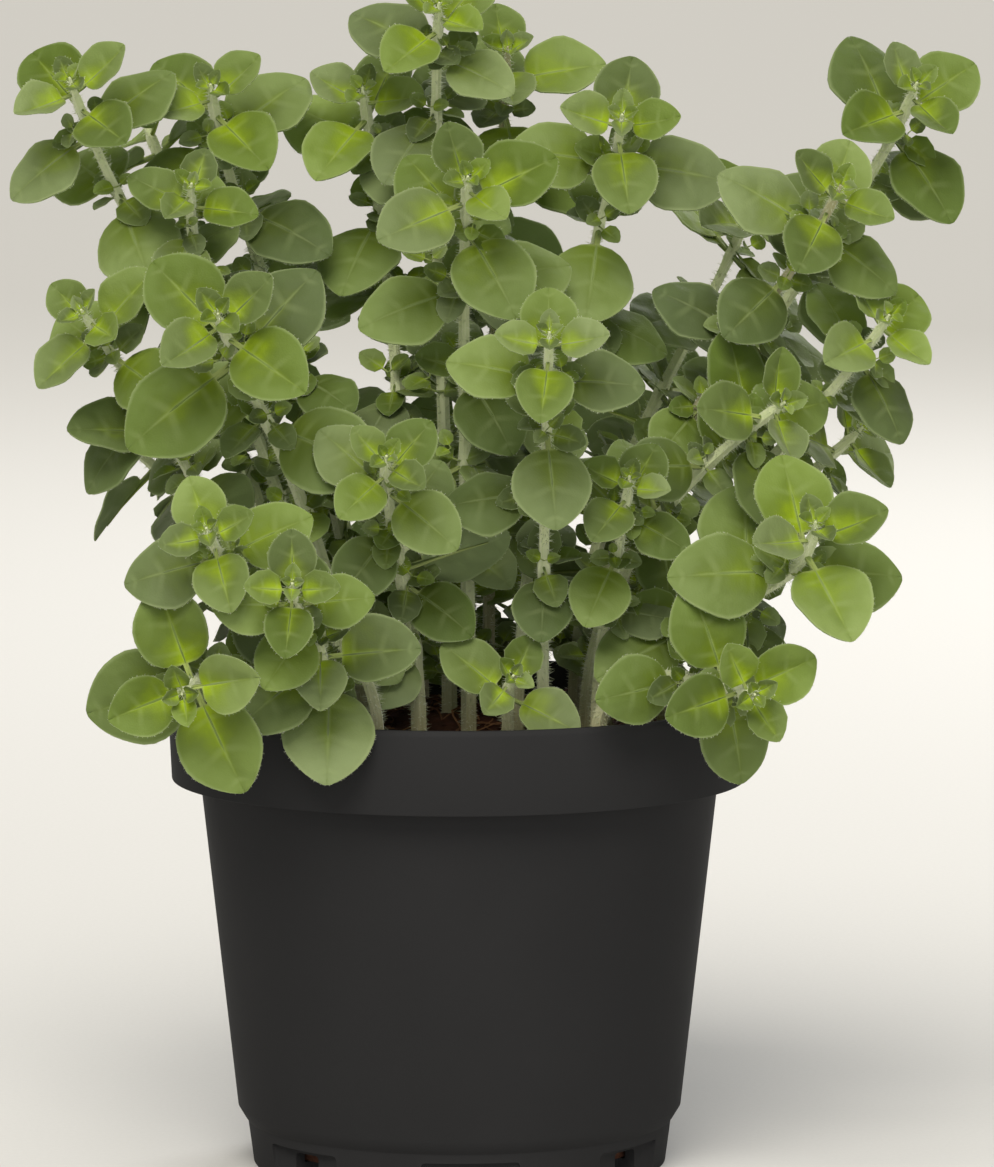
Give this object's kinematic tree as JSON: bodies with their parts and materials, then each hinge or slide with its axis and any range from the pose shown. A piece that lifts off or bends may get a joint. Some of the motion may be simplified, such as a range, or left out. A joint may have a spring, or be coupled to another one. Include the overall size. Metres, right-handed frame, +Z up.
{
  "type": "potted oregano",
  "caption": "Young oregano plant in a round nursery pot: hairy upright stems with opposite pairs of rounded leaves grow from soil and spread over the rim.",
  "frame": {"origin": "middle of the pot's underside, on the surface that it stands on", "axes": "+Z up along the pot's axis, -Y towards the viewer, +X to the viewer's right"},
  "size_m": [0.1984, 0.1643, 0.2456],
  "materials": {
    "pot_plastic": "matte moulded polypropylene, near black",
    "potting_soil": "damp fibrous peat and bark mix, reddish brown",
    "oregano_leaf": "soft grey-green leaf with fine hairs, a pale margin and a yellow-green base when young",
    "oregano_stem": "pale green square stem under white hairs"
  },
  "bodies": {
    "root": {"pot": "pot_plastic", "soil": "potting_soil", "stem_arch": "oregano_leaf", "stem_back_left": "oregano_leaf", "stem_back_right": "oregano_leaf", "stem_centre": "oregano_leaf", "stem_centre_tall": "oregano_leaf", "stem_cross": "oregano_leaf", "stem_far_right": "oregano_leaf", "stem_front_low": "oregano_leaf", "stem_grey_left": "oregano_leaf", "stem_left_centre": "oregano_leaf", "stem_left_edge": "oregano_leaf", "stem_left_front": "oregano_leaf", "stem_left_lower": "oregano_leaf", "stem_left_rim": "oregano_leaf", "stem_left_rosette": "oregano_leaf", "stem_left_small": "oregano_leaf", "stem_left_top": "oregano_leaf", "stem_mid_back": "oregano_leaf", "stem_rear_centre": "oregano_leaf", "stem_rear_left": "oregano_leaf", "stem_rear_low": "oregano_leaf", "stem_rear_right": "oregano_leaf", "stem_right_big": "oregano_leaf", "stem_right_inner": "oregano_leaf", "stem_right_low": "oregano_leaf", "stem_right_mid": "oregano_leaf", "stem_right_of_centre": "oregano_leaf", "stem_right_upper": "oregano_leaf", "stem_side_left": "oregano_leaf", "stem_side_right": "oregano_leaf", "stem_sprout": "oregano_leaf", "stem_tall_left": "oregano_leaf"}
  },
  "joints": []
}
